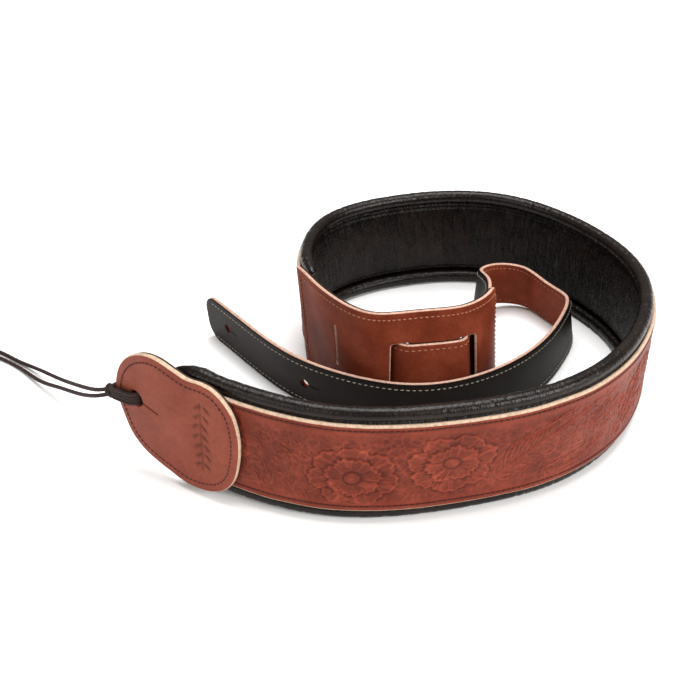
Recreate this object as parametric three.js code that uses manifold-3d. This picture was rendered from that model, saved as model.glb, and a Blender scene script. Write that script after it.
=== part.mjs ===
// A padded leather guitar strap lying coiled on its long edges, in millimetres, +Z up.
// Every strip stands on edge: it follows a route drawn on the floor, its width goes up,
// and its thickness goes across the route. The outer face of the band is the tooled one.
import * as THREE from "three";
import { mergeVertices } from "three/addons/utils/BufferGeometryUtils.js";
import Module from "manifold-3d";

const wasm = await Module();
wasm.setup();

// ---- driving sizes -------------------------------------------------------------
const BAND_HEIGHT = 75;
const ROLL_RADIUS = 4.4;
const ROLL_SKIN = 0.9;
const ROLL_ACROSS = 6.6;
const PANEL_HEIGHT = 77;
const TAIL_WIDTH = 35;
const TAIL_RISE = 21;
const BUTTON_HOLE = 3;
const TAB_HOLE = 5;
const SLOT_LOW = 19;
const SLOT_HIGH = 57;
const LACE = 1.25;
const TAB_START = 1.6;
const TAB_END = 89.7;
const TAB_HOLE_AT = [19, 44];
const TAB_STITCH = [5.2, 6];
const PANEL_CORNER = 18;
const PANEL_STITCH = [4.6, 5.4];
const TAIL_CORNER = 12;
const TAIL_STITCH = [4, 4.8];
const TAIL_HOLES_AT = [
  [33, 19],
  [114, 17],
];
const SLIT_LENGTH = 13;

// Layers, as two distances across the route, measured inwards from the band's outer face.
const BAND_LEATHER = [0, 2.4];
const BAND_PAD = [2.7, 6.7];
const BAND_LINING = [7, 8.2];
const BAND_THREAD = [-0.7, -0.3];
const TAB_THREAD = [-5.3, -4.9];
const TAB_LEATHER = [-4.6, -1.6];
const TAB_LINING = [-1.3, -0.3];
const PANEL_LEATHER = [0, 2.3];
const PANEL_LINING = [2.6, 3.4];
const PANEL_THREAD = [-0.7, -0.3];
const TAIL_LINING = [0, 0.8];
const TAIL_LEATHER = [1.1, 3.4];
const TAIL_THREAD = [3.7, 4.1];
const THREADED_THREAD = [3.65, 3.95];
// Distances that pass right through the tab, and right through the adjuster or the tail.
const TAB_THROUGH = [-8, 4];
const THROUGH = [-3, 7];

// The middle of the coil's floor outline, and its lowest point, in the route's own numbers.
const MIDDLE = [49.4, -23.5, -0.25];

// ---- routes: x, y, height of the lower edge, lean towards the left in degrees ----
const SPINE = [
  [-113, -96, 6, 0],
  [-88, -118, 5, 1],
  [-50, -143, 2, 4],
  [-4, -160, 0, 2],
  [40, -162, 0, 0],
  [92, -152, 0, -2],
  [146, -134, 0, -2],
  [195, -88, 0, 0],
  [224, -4, 0, 1],
  [188, 75, 0, 2],
  [126, 121, 0, 0],
  [47, 107, 0, -1],
  [-7, 75, 0, -1],
  [-15.5, 18, 0, -2],
  [-7, -1, 0, -4],
  [6, -25, 0, -4],
];
const PANEL = [
  [-14.6, 1.6, 0.2, -4],
  [-6, -8, 0.2, -5],
  [5, -32, 0.2, -4],
  [20, -61, 0.2, 0],
  [37, -73.4, 0.3, 4],
  [64, -69, 0.5, 6],
  [93, -67, 0.5, 6],
  [116, -44, 0.5, 6],
  [116, -22, 0.5, 4],
];
// The tail strap from its free tip to where it goes behind the adjuster panel.
const TAIL_FREE = [
  [-82, 35, 0, -5],
  [-50, -6, 0, -4],
  [-18, -47, 0, -6],
  [26, -74.4, 0, -2],
  [68, -84, 0.2, 1],
  [111, -69, 0.4, 4],
  [147, -39, 0.5, 6],
  [168, -1, 0.5, 6],
  [182, 28, 0.7, 11],
  [165, 45, 1.2, 11],
  [153, 72, 2, 9],
  [121, 69, 5, 4],
  [104, 47, 9, 3],
  [112, 30, 13, 2],
  [110, 10, 17, 2],
  [108, -8, 20, -1],
];
// The rest of it, as a place along the panel and a distance behind the panel's outer face.
const TAIL_THREADED = [
  [188, 8],
  [178, 8.2],
  [169, 8.6],
  [162, 8.7],
  [158, 8.8],
  [154, 7.6],
  [149.8, 3.6],
  [146, 0.2],
  [142, -0.7],
  [136, -0.7],
  [127, -0.7],
  [117, -0.7],
  [111, -0.7],
  [107, 0.2],
  [103, 3.6],
  [99, 7.6],
  [95, 8.8],
  [91, 8.6],
  [84, 8.4],
  [75, 8.4],
];

// The tab's outline from its tip round to its other end: distance along, height.
const TAB_TOP = [
  [1.2, 44],
  [3.5, 53],
  [8, 62],
  [16, 71],
  [27, 77.5],
  [38, 79],
  [49, 76.3],
  [58, 74],
  [67, 74.5],
  [75, 72.6],
  [82, 67],
  [87.5, 58],
  [90, 44],
];
const TAB_LOW = [
  [1.2, 44],
  [2, 37],
  [4.5, 28],
  [10.5, 16],
  [20, 8.5],
  [32, 4.8],
  [41, 3],
  [50, 1],
  [59, 0.6],
  [71, 3],
  [80, 8.5],
  [86, 17.5],
  [89, 30],
  [90, 44],
];

// ---- places along the routes ------------------------------------------------------
const BAND_START = 44;
const BAND_END = 802;
const TAB_FLEX = 42;
const PANEL_FLEX = 24;
const PANEL_START = 7.5;
const PANEL_END = 197;
const SLOT_A = [96.5, 110];
const SLOT_B = [142.5, 157];
const SLIT_AT = 55;
const TAIL_TIP = 6;
// Half of the gap between two lengths where they bend: the leather, and the tab's thread above it.
const FLEX_GAP = 0.5;
const THREAD_GAP = 1.1;
// Half of the width of a slit.
const SLIT_HALF = 0.5;

// ---- a route as a smooth curve ------------------------------------------------------
function curve(route) {
  const last = route.length - 1;
  const mirror = (a, b) => a.map((v, i) => 2 * v - b[i]);
  const points = [mirror(route[0], route[1]), ...route, mirror(route[last], route[last - 1])];
  const steps = 24;
  const rows = [];
  for (let k = 0; k < last; k++) {
    for (let j = 0; j < steps + (k === last - 1 ? 1 : 0); j++) {
      const t = j / steps;
      const b = [(1 - t) ** 3, 3 * t ** 3 - 6 * t * t + 4, -3 * t ** 3 + 3 * t * t + 3 * t + 1, t ** 3];
      rows.push([0, 1, 2, 3].map((i) => b.reduce((sum, w, m) => sum + (w * points[k + m][i]) / 6, 0)));
    }
  }
  const along = [0];
  for (let i = 1; i < rows.length; i++) {
    along.push(along[i - 1] + Math.hypot(rows[i][0] - rows[i - 1][0], rows[i][1] - rows[i - 1][1]));
  }
  return { rows, along, length: along[along.length - 1] };
}

// The point at distance s along the route, w up the strip and n to the left across it.
function at(path, s, w, n) {
  const { rows, along } = path;
  let i = 0;
  while (i < along.length - 2 && along[i + 1] < s) i++;
  const t = (s - along[i]) / (along[i + 1] - along[i]);
  const row = rows[i].map((v, k) => v + (rows[i + 1][k] - v) * t);
  const before = rows[Math.max(i - 1, 0)];
  const after = rows[Math.min(i + 2, rows.length - 1)];
  const d0 = [rows[i + 1][0] - before[0], rows[i + 1][1] - before[1]];
  const d1 = [after[0] - rows[i][0], after[1] - rows[i][1]];
  const c = Math.min(Math.max(t, 0), 1);
  const dx = d0[0] / Math.hypot(...d0) * (1 - c) + (d1[0] / Math.hypot(...d1)) * c;
  const dy = d0[1] / Math.hypot(...d0) * (1 - c) + (d1[1] / Math.hypot(...d1)) * c;
  const size = Math.hypot(dx, dy);
  const left = [-dy / size, dx / size];
  const lean = (row[3] * Math.PI) / 180;
  const across = Math.sin(lean) * w + Math.cos(lean) * n;
  return [
    row[0] + left[0] * across - MIDDLE[0],
    row[1] + left[1] * across - MIDDLE[1],
    row[2] + Math.cos(lean) * w - Math.sin(lean) * n - MIDDLE[2],
    row[3],
  ];
}

const spine = curve(SPINE);
const panel = curve(PANEL);
const threaded = TAIL_THREADED.map(([s, n]) => {
  const [x, y, z, lean] = at(panel, s, TAIL_RISE, n);
  return [x + MIDDLE[0], y + MIDDLE[1], z + MIDDLE[2], -lean];
});
const tail = curve([...TAIL_FREE, ...threaded]);

// ---- solids -------------------------------------------------------------------------
// A closed body through a list of rings with the same number of points.
function loft(rings) {
  const k = rings[0].length;
  const vertices = rings.flat().flat();
  const faces = [];
  for (let i = 0; i + 1 < rings.length; i++) {
    for (let j = 0; j < k; j++) {
      const a = i * k + j;
      const b = i * k + ((j + 1) % k);
      // On a strip the two wide faces are split along the same diagonal, so that layers stay parallel.
      if (k === 4 && j === 2) faces.push(a, b, a + k, b, b + k, a + k);
      else faces.push(a, b, b + k, a, b + k, a + k);
    }
  }
  const end = (rings.length - 1) * k;
  for (let j = 1; j + 1 < k; j++) {
    faces.push(0, j + 1, j);
    faces.push(end, end + j, end + j + 1);
  }
  return body(vertices, faces);
}

function body(vertices, faces) {
  const build = (tris) =>
    new wasm.Manifold(
      new wasm.Mesh({
        numProp: 3,
        vertProperties: new Float32Array(vertices),
        triVerts: new Uint32Array(tris),
      }),
    );
  const made = build(faces);
  if (made.volume() > 0) return made;
  const turned = [];
  for (let i = 0; i < faces.length; i += 3) turned.push(faces[i], faces[i + 2], faces[i + 1]);
  return build(turned);
}

const within = (list, from, to) => [from, ...list.filter((s) => s > from + 0.5 && s < to - 0.5), to];

// A strip between two distances across the route, with its own lower and upper edge.
function strip(path, places, n0, n1, low, high) {
  const lo = typeof low === "function" ? low : () => low;
  const hi = typeof high === "function" ? high : () => high;
  return loft(
    places.map((s) => [
      at(path, s, lo(s), n0).slice(0, 3),
      at(path, s, hi(s), n0).slice(0, 3),
      at(path, s, hi(s), n1).slice(0, 3),
      at(path, s, lo(s), n1).slice(0, 3),
    ]),
  );
}

// An eight-sided rod along the route, flat at the bottom and the top.
function rod(path, places, n, w, radius) {
  const corner = radius / Math.cos(Math.PI / 8);
  return loft(
    places.map((s) =>
      [0, 1, 2, 3, 4, 5, 6, 7].map((i) => {
        const a = Math.PI / 8 + (i * Math.PI) / 4;
        return at(path, s, w + corner * Math.sin(a), n + corner * Math.cos(a)).slice(0, 3);
      }),
    ),
  );
}

// A round tube through free points, with eight sides.
function cord(points, radius, steps, closed = false) {
  const line = new THREE.CatmullRomCurve3(
    points.map(([x, y, z]) => new THREE.Vector3(x - MIDDLE[0], y - MIDDLE[1], z - MIDDLE[2])),
    closed,
    "catmullrom",
    0.5,
  );
  const shape = new THREE.Shape();
  for (let i = 0; i < 8; i++) {
    const a = (i * Math.PI) / 4;
    if (i === 0) shape.moveTo(radius, 0);
    else shape.lineTo(radius * Math.cos(a), radius * Math.sin(a));
  }
  shape.closePath();
  return solidOf(new THREE.ExtrudeGeometry(shape, { steps, extrudePath: line, bevelEnabled: false }));
}

function solidOf(geometry) {
  geometry.deleteAttribute("normal");
  geometry.deleteAttribute("uv");
  const merged = mergeVertices(geometry, 1e-4);
  return body(Array.from(merged.attributes.position.array), Array.from(merged.index.array));
}

// A block that cuts through a strip between two places, two heights and two distances.
const cutter = (path, s0, s1, w0, w1, n0, n1) => strip(path, within([], s0, s1), n0, n1, w0, w1);

// A round hole through a strip.
function drill(path, s, w, radius, n0, n1) {
  const ring = (n) => {
    const list = [];
    for (let i = 0; i < 16; i++) {
      const a = (i * Math.PI) / 8;
      list.push(at(path, s + radius * Math.cos(a), w + radius * Math.sin(a), n).slice(0, 3));
    }
    return list;
  };
  return loft([ring(n0), ring(n1)]);
}

const range = (from, to, step) => {
  const list = [];
  for (let s = from; s <= to + 1e-6; s += step) list.push(s);
  return list;
};

// ---- materials ----------------------------------------------------------------------
const brown = { color: 0x743629, roughness: 0.5, metalness: 0 };
const tabBrown = { color: 0x8a4a3a, roughness: 0.55, metalness: 0 };
const black = { color: 0x2a2220, roughness: 0.5, metalness: 0 };
const foam = { color: 0x6a6560, roughness: 0.95, metalness: 0 };
const redThread = { color: 0x4a1c18, roughness: 0.8, metalness: 0 };
const greyThread = { color: 0x9a8a80, roughness: 0.8, metalness: 0 };
const lace = { color: 0x2c2624, roughness: 0.85, metalness: 0 };

const strap = new THREE.Group();
strap.name = "guitar_strap";
function add(name, solid, look) {
  const mesh = solid.getMesh();
  const geometry = new THREE.BufferGeometry();
  geometry.setAttribute("position", new THREE.BufferAttribute(new Float32Array(mesh.vertProperties), 3));
  geometry.setIndex(new THREE.BufferAttribute(new Uint32Array(mesh.triVerts), 1));
  geometry.computeVertexNormals();
  const made = new THREE.Mesh(geometry, new THREE.MeshStandardMaterial(look));
  made.name = name;
  strap.add(made);
}

// ---- the padded shoulder band --------------------------------------------------------
const bandPlaces = [48, 56, 67, 78, ...range(95, 775, 17), 786, 794];
const PAD_PLACES = [48, 794];
const THREAD_PLACES = [95, 775];
const CORE_GAP = 0.35;
const tabPlaces = [
  2.6, 4.5, 7, 10.5, 15, 21, 28, 35,
  TAB_FLEX - FLEX_GAP,
  TAB_FLEX + FLEX_GAP,
  48, 53, 58, 63, 68, 73, 78, 82, 85.5, 88,
];

function bandLayer([from, to], [n0, n1], low, high) {
  return strip(spine, within(bandPlaces, from, to), n0, n1, low, high);
}
add("shoulder_panel", bandLayer([48, BAND_END], BAND_LEATHER, 8.5, 67.5), brown);
add("pad_core", bandLayer(PAD_PLACES, BAND_PAD, 12, 64), foam);
add("inner_lining", bandLayer([BAND_START, BAND_END], BAND_LINING, 11, 64.5), black);
for (const [name, w] of [
  ["upper", BAND_HEIGHT - ROLL_RADIUS],
  ["lower", ROLL_RADIUS],
]) {
  const places = within(bandPlaces, BAND_START, BAND_END);
  const open = [BAND_START - 2, ...places, BAND_END + 2];
  const bore = rod(spine, open, ROLL_ACROSS, w, ROLL_RADIUS - ROLL_SKIN);
  const core = ROLL_RADIUS - ROLL_SKIN - CORE_GAP;
  add(name + "_roll", rod(spine, places, ROLL_ACROSS, w, ROLL_RADIUS).subtract(bore), black);
  add(name + "_roll_core", rod(spine, within(bandPlaces, ...PAD_PLACES), ROLL_ACROSS, w, core), foam);
}
add("upper_stitching", bandLayer(THREAD_PLACES, BAND_THREAD, 62.4, 63.2), redThread);
add("lower_stitching", bandLayer(THREAD_PLACES, BAND_THREAD, 12.8, 13.6), redThread);

// ---- the end tab, in two lengths that meet at the line where it flexes -----------------
// One side of the outline, moved towards the inside, as a height at each distance along.
function tabEdge(side, inset, turn) {
  const line = new THREE.CatmullRomCurve3(
    side.map(([s, w]) => new THREE.Vector3(s, w, 0)),
    false,
    "centripetal",
  );
  const points = line.getPoints(96).map((p, i, all) => {
    const end = i === 0 || i === all.length - 1;
    const ahead = all[Math.min(i + 1, all.length - 1)];
    const behind = all[Math.max(i - 1, 0)];
    const ds = end ? 0 : ahead.x - behind.x;
    const dw = end ? (i === 0 ? turn : -turn) : ahead.y - behind.y;
    const size = Math.hypot(ds, dw);
    return [p.x + (turn * dw * inset) / size, p.y - (turn * ds * inset) / size];
  });
  return (s) => {
    let i = 0;
    while (i < points.length - 2 && points[i + 1][0] < s) i++;
    const [a, b] = [points[i], points[i + 1]];
    return a[1] + ((b[1] - a[1]) * (s - a[0])) / (b[0] - a[0]);
  };
}
function tabLayer(from, to, [n0, n1], inset = 0) {
  const low = tabEdge(TAB_LOW, inset, -1);
  const high = tabEdge(TAB_TOP, inset, 1);
  return strip(spine, within(tabPlaces, from, to), n0, n1, low, high);
}
const tabHole = drill(spine, ...TAB_HOLE_AT, TAB_HOLE, ...TAB_THROUGH);
const slitLine = (s) => TAB_HOLE_AT[1] - (s - TAB_HOLE_AT[0]) * 0.19;
const tabSlit = strip(
  spine,
  [TAB_HOLE_AT[0], TAB_HOLE_AT[0] + 16],
  ...TAB_THROUGH,
  (s) => slitLine(s) - SLIT_HALF,
  (s) => slitLine(s) + SLIT_HALF,
);
const headEnd = TAB_FLEX - FLEX_GAP;
const neckStart = TAB_FLEX + FLEX_GAP;
const cutTab = (solid) => solid.subtract(tabHole).subtract(tabSlit);
add("tab_head", cutTab(tabLayer(TAB_START, headEnd, TAB_LEATHER)), tabBrown);
add("tab_head_lining", cutTab(tabLayer(TAB_START, headEnd, TAB_LINING)), black);
add("tab_neck", tabLayer(neckStart, TAB_END, TAB_LEATHER), tabBrown);
add("tab_neck_lining", tabLayer(neckStart, TAB_END, TAB_LINING), black);
const tabRow = (from, to, inFrom, inTo) =>
  tabLayer(from, to, TAB_THREAD, TAB_STITCH[0]).subtract(
    tabLayer(inFrom, inTo, [-5.9, -4.3], TAB_STITCH[1]),
  );
add("tab_head_stitching", tabRow(7, TAB_FLEX - THREAD_GAP, 7.8, TAB_FLEX + 2), redThread);
add("tab_neck_stitching", tabRow(TAB_FLEX + THREAD_GAP, 84.2, TAB_FLEX - 2, 83.4), redThread);

// ---- the adjuster panel, sewn over the band's other end -----------------------------------
const anchorEnd = PANEL_FLEX - FLEX_GAP;
const panelStart = PANEL_FLEX + FLEX_GAP;
const panelPlaces = [12, 18, anchorEnd, panelStart, ...range(32, 176, 8), 183, 188, 192, 195];
function panelEdge(s) {
  const past = s - PANEL_END + PANEL_CORNER;
  if (past < 0) return 0;
  return PANEL_CORNER - Math.sqrt(Math.max(0, PANEL_CORNER ** 2 - past ** 2));
}
function panelLayer(from, to, [n0, n1], inset = 0) {
  const edge = (s) => panelEdge(s + inset) + inset;
  return strip(panel, within(panelPlaces, from, to), n0, n1, edge, (s) => PANEL_HEIGHT - edge(s));
}
const slots = [SLOT_A, SLOT_B].map(([a, b]) => cutter(panel, a, b, SLOT_LOW, SLOT_HIGH, ...THROUGH));
const slit = cutter(panel, SLIT_AT - 0.6, SLIT_AT + 0.6, 31, 57, ...THROUGH);
const slitHole = drill(panel, SLIT_AT, 31, 2.2, ...THROUGH);
const cutPanel = (solid) =>
  [...slots, slit, slitHole].reduce((made, tool) => made.subtract(tool), solid);
add("adjuster_anchor", panelLayer(PANEL_START, anchorEnd, PANEL_LEATHER), brown);
add("adjuster_anchor_lining", panelLayer(PANEL_START, anchorEnd, PANEL_LINING), black);
add("adjuster_panel", cutPanel(panelLayer(panelStart, PANEL_END, PANEL_LEATHER)), brown);
add("adjuster_panel_lining", cutPanel(panelLayer(panelStart, PANEL_END, PANEL_LINING)), black);
const panelRow = (from, to, inFrom, inTo) =>
  panelLayer(from, to, PANEL_THREAD, PANEL_STITCH[0]).subtract(
    panelLayer(inFrom, inTo, [-1.2, 0.2], PANEL_STITCH[1]),
  );
add(
  "adjuster_anchor_stitching",
  panelRow(PANEL_START + 4.4, PANEL_FLEX - THREAD_GAP, PANEL_START + 5.2, PANEL_FLEX + 1),
  greyThread,
);
add(
  "adjuster_panel_stitching",
  panelRow(
    PANEL_FLEX + THREAD_GAP,
    PANEL_END - PANEL_STITCH[0],
    PANEL_FLEX - 1,
    PANEL_END - PANEL_STITCH[1],
  ),
  greyThread,
);

// ---- the tail strap, in two lengths that meet at the line where it flexes --------------------
const near = (path, x, y) => {
  let best = 0;
  path.rows.forEach((row, i) => {
    const now = path.rows[best];
    if (Math.hypot(row[0] - x, row[1] - y) < Math.hypot(now[0] - x, now[1] - y)) best = i;
  });
  return path.along[best];
};
const TAIL_FLEX = Math.round(near(tail, 106, 45));
const TAIL_START = TAIL_TIP + 0.6;
const TAIL_END = tail.length - 1;
const freeEnd = TAIL_FLEX - FLEX_GAP;
const threadedStart = TAIL_FLEX + FLEX_GAP;
const slotZone = near(tail, 113, -40);
const tailPlaces = [
  8, 11, 15, 20,
  ...range(30, TAIL_FLEX - 100, 12),
  ...range(TAIL_FLEX - 90, slotZone - 8, 6),
  ...range(slotZone, TAIL_END - 22, 3.2),
  TAIL_END - 12,
];
function tailEdge(s) {
  const left = TAIL_TIP + TAIL_CORNER - s;
  if (left < 0) return 0;
  return TAIL_CORNER - Math.sqrt(Math.max(0, TAIL_CORNER ** 2 - left ** 2));
}
function tailLayer(from, to, [n0, n1], inset = 0) {
  const edge = (s) => tailEdge(s - inset) + inset;
  return strip(tail, within(tailPlaces, from, to), n0, n1, edge, (s) => TAIL_WIDTH - edge(s));
}
const tailCuts = TAIL_HOLES_AT.flatMap(([s, w]) => [
  drill(tail, s, w, BUTTON_HOLE, ...THROUGH),
  cutter(tail, s, s + SLIT_LENGTH, w - SLIT_HALF, w + SLIT_HALF, ...THROUGH),
]);
const cutTail = (solid) => tailCuts.reduce((made, tool) => made.subtract(tool), solid);
add("tail_free", cutTail(tailLayer(TAIL_START, freeEnd, TAIL_LEATHER)), brown);
add("tail_free_lining", cutTail(tailLayer(TAIL_START, freeEnd, TAIL_LINING)), black);
add("tail_threaded", tailLayer(threadedStart, TAIL_END, TAIL_LEATHER), brown);
add("tail_threaded_lining", tailLayer(threadedStart, TAIL_END, TAIL_LINING), black);
const tailRow = (from, to, layer, inFrom, inTo) =>
  tailLayer(from, to, layer, TAIL_STITCH[0]).subtract(
    tailLayer(inFrom, inTo, [3.2, 4.6], TAIL_STITCH[1]),
  );
add(
  "tail_free_stitching",
  tailRow(TAIL_TIP + 4.6, freeEnd, TAIL_THREAD, TAIL_TIP + 5.4, TAIL_FLEX + 1),
  greyThread,
);
add(
  "tail_threaded_stitching",
  tailRow(threadedStart, TAIL_END - 4, THREADED_THREAD, TAIL_FLEX - 1, TAIL_END - 4.8),
  greyThread,
);

// ---- the lace, hitched through the tab's button hole -------------------------------------------
// The wraps go in at the hole, behind the tab and back round its tip: distance along, distance across.
const WRAP_PATH = [
  [16.5, -6.4],
  [20.2, -2.45],
  [16.5, 1.5],
  [8, 1.5],
  [0.5, 1.5],
  [-2.8, -2.45],
  [0.5, -6.4],
  [8, -6.5],
];
// Three turns side by side, as one ridged outline: up the strip, out from the path.
const WRAP_OUTLINE = [
  [-3.65, 0],
  [-2.4, 1.25],
  [-1.2, 0.75],
  [0, 1.25],
  [1.2, 0.75],
  [2.4, 1.25],
  [3.65, 0],
  [2.4, -1.25],
  [1.2, -0.75],
  [0, -1.25],
  [-1.2, -0.75],
  [-2.4, -1.25],
];
const WRAP_STEPS = 20;
const wrapLine = new THREE.CatmullRomCurve3(
  WRAP_PATH.map(([s, n]) => new THREE.Vector3(s, n, 0)),
  true,
  "catmullrom",
  0.5,
);
const wrapRings = range(0, WRAP_STEPS - 1, 1).map((i) => {
  const p = wrapLine.getPoint(i / WRAP_STEPS);
  const t = wrapLine.getTangent(i / WRAP_STEPS);
  return WRAP_OUTLINE.map(([up, out]) => {
    const s = p.x - t.y * out;
    const n = p.y + t.x * out;
    return at(spine, s, 44 + (s - 19) * 0.2 + up, n).slice(0, 3);
  });
});
const sides = WRAP_OUTLINE.length;
const wrapFaces = [];
for (let i = 0; i < WRAP_STEPS; i++) {
  const next = (i + 1) % WRAP_STEPS;
  for (let j = 0; j < sides; j++) {
    const k = (j + 1) % sides;
    wrapFaces.push(i * sides + j, i * sides + k, next * sides + k);
    wrapFaces.push(i * sides + j, next * sides + k, next * sides + j);
  }
}
const COLLAR = [-118.6, -97.8, 44.9];
const lump = new THREE.SphereGeometry(1, 12, 8);
lump.scale(2.9, 2.9, 3.9);
lump.translate(COLLAR[0] - MIDDLE[0], COLLAR[1] - MIDDLE[1], COLLAR[2] - MIDDLE[2]);
const hitch = [
  body(wrapRings.flat().flat(), wrapFaces),
  solidOf(lump),
  cord([[-118.2, -98, 45.4], [-121.2, -95.9, 44.4]], LACE, 1),
  cord([[-118.2, -98, 43.4], [-121.2, -96.8, 41.4]], LACE, 1),
].reduce((a, b) => a.add(b));
add("lace_hitch", hitch, lace);
add(
  "lace_upper_strand",
  cord(
    [
      [-121.6, -95.6, 44.2],
      [-131, -88, 38.4],
      [-145, -70.4, 28],
      [-166, -43.7, 14],
      [-186.3, -21, 5],
      [-204.3, -6.4, 1.5],
      [-221.4, 5.6, 1.3],
      [-238, 13, 1.3],
      [-254, 10, 1.3],
      [-262, -4, 1.3],
      [-259, -19, 1.3],
      [-248.4, -27, 2.6],
    ],
    LACE,
    42,
  ),
  lace,
);
add(
  "lace_lower_strand",
  cord(
    [
      [-121.6, -96.6, 41.2],
      [-131, -90.2, 35.4],
      [-144, -75.5, 25.6],
      [-164.3, -51.3, 12.6],
      [-183.4, -32.4, 4.2],
      [-202.4, -13.5, 1.3],
      [-219.3, -1.6, 1.3],
      [-235, 5, 1.3],
      [-247, 2, 1.3],
      [-252, -9, 1.3],
      [-248, -19, 1.3],
      [-244.4, -25.4, 2.6],
    ],
    LACE,
    38,
  ),
  lace,
);
const KNOT = [-243.8, -31.2, 3.9];
const bead = new THREE.SphereGeometry(1, 12, 8);
bead.scale(3.4, 4.2, 3.4);
bead.translate(KNOT[0] - MIDDLE[0], KNOT[1] - MIDDLE[1], KNOT[2] - MIDDLE[2]);
add(
  "lace_end_knot",
  [
    solidOf(bead),
    cord([[-244, -32, 3], [-241, -37, 1.9], [-237, -41, 1.4]], LACE, 4),
    cord([[-245, -32, 3], [-245, -38, 1.9], [-243, -43, 1.4]], LACE, 4),
  ].reduce((a, b) => a.add(b)),
  lace,
);

export default strap;
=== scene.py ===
import math

import bmesh
import bpy
import numpy as np
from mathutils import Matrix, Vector
from mathutils.geometry import delaunay_2d_cdt


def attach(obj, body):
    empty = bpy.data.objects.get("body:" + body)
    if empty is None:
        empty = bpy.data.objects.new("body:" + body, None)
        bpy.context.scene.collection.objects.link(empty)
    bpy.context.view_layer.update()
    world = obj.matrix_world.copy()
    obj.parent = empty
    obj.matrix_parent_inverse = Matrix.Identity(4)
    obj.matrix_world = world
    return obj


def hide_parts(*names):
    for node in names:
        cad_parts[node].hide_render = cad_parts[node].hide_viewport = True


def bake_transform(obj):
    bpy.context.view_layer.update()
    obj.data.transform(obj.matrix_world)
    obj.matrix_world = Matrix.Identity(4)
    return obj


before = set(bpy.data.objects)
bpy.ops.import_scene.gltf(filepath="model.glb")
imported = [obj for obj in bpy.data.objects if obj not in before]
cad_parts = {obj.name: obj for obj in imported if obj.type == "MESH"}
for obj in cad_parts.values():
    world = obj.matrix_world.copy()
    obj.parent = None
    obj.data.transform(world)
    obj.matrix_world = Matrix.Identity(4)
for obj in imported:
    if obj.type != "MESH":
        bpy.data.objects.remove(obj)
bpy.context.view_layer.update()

MM = 0.001
RNG = np.random.default_rng(7)

# ---- the routes, as in the part: x, y, height of the lower edge, lean ------------------
MIDDLE = np.array([49.4, -23.5, -0.25])
SPINE = [
    [-113, -96, 6, 0], [-88, -118, 5, 1], [-50, -143, 2, 4], [-4, -160, 0, 2], [40, -162, 0, 0],
    [92, -152, 0, -2], [146, -134, 0, -2], [195, -88, 0, 0], [224, -4, 0, 1], [188, 75, 0, 2],
    [126, 121, 0, 0], [47, 107, 0, -1], [-7, 75, 0, -1], [-15.5, 18, 0, -2], [-7, -1, 0, -4],
    [6, -25, 0, -4],
]
PANEL = [
    [-14.6, 1.6, 0.2, -4], [-6, -8, 0.2, -5], [5, -32, 0.2, -4], [20, -61, 0.2, 0],
    [37, -73.4, 0.3, 4], [64, -69, 0.5, 6], [93, -67, 0.5, 6], [116, -44, 0.5, 6], [116, -22, 0.5, 4],
]
TAIL_FREE = [
    [-82, 35, 0, -5], [-50, -6, 0, -4], [-18, -47, 0, -6], [26, -74.4, 0, -2], [68, -84, 0.2, 1],
    [111, -69, 0.4, 4], [147, -39, 0.5, 6], [168, -1, 0.5, 6], [182, 28, 0.7, 11], [165, 45, 1.2, 11],
    [153, 72, 2, 9], [121, 69, 5, 4], [104, 47, 9, 3], [112, 30, 13, 2], [110, 10, 17, 2],
    [108, -8, 20, -1],
]
TAIL_THREADED = [
    [188, 8], [178, 8.2], [169, 8.6], [162, 8.7], [158, 8.8], [154, 7.6], [149.8, 3.6], [146, 0.2],
    [142, -0.7], [136, -0.7], [127, -0.7], [117, -0.7], [111, -0.7], [107, 0.2], [103, 3.6],
    [99, 7.6], [95, 8.8], [91, 8.6], [84, 8.4], [75, 8.4],
]
TAIL_RISE = 21
BAND_START, BAND_END = 44, 802
ROLL = 4.4
ROLL_ACROSS = 6.6
TAB_TOP = [
    [1.2, 44], [3.5, 53], [8, 62], [16, 71], [27, 77.5], [38, 79], [49, 76.3], [58, 74], [67, 74.5],
    [75, 72.6], [82, 67], [87.5, 58], [90, 44],
]
TAB_LOW = [
    [1.2, 44], [2, 37], [4.5, 28], [10.5, 16], [20, 8.5], [32, 4.8], [41, 3], [50, 1], [59, 0.6],
    [71, 3], [80, 8.5], [86, 17.5], [89, 30], [90, 44],
]
PANEL_HEIGHT, PANEL_START, PANEL_END = 77, 7.5, 197
TAIL_WIDTH, TAIL_TIP = 35, 6
SLOT_A, SLOT_B = (98.0, 110), (142.5, 155.2)
SLOT_LOW, SLOT_HIGH = 19, 55.8
TAIL_SPLIT = 428
LACE = 1.25
BAND_LOW, BAND_TOP = 8.5, 67.5
STITCH_ROWS = (12.3, 64.2)

# where along its route each strip flexes
TAB_FLEX, PANEL_FLEX, TAIL_FLEX = 42, 24, 464

# each layer's two faces, as distances across its own route
BAND_BACK, PAD_BACK, PAD_OUTER = 2.4, 2.6, 2.7
TAB_LEATHER, TAB_LINING = (-4.6, -1.5), (-1.4, -0.3)
PANEL_LEATHER, PANEL_LINING = (0, 2.3), (2.5, 3.4)
TAIL_LEATHER, TAIL_LINING = (3.4, 1.0), (0.9, 0)

TAB_HOLE_AT = (19, 44)
TAB_HOLE_R = 5


def lengths(line):
    """The distance along a line at each of its points."""
    step = np.linalg.norm(np.diff(line, axis=0), axis=1)
    return np.concatenate([[0], np.cumsum(step)])


def sample(line, total, where):
    """The points of a line at some distances along it."""
    return np.stack([np.interp(where, total, column) for column in line.T], -1)


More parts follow.
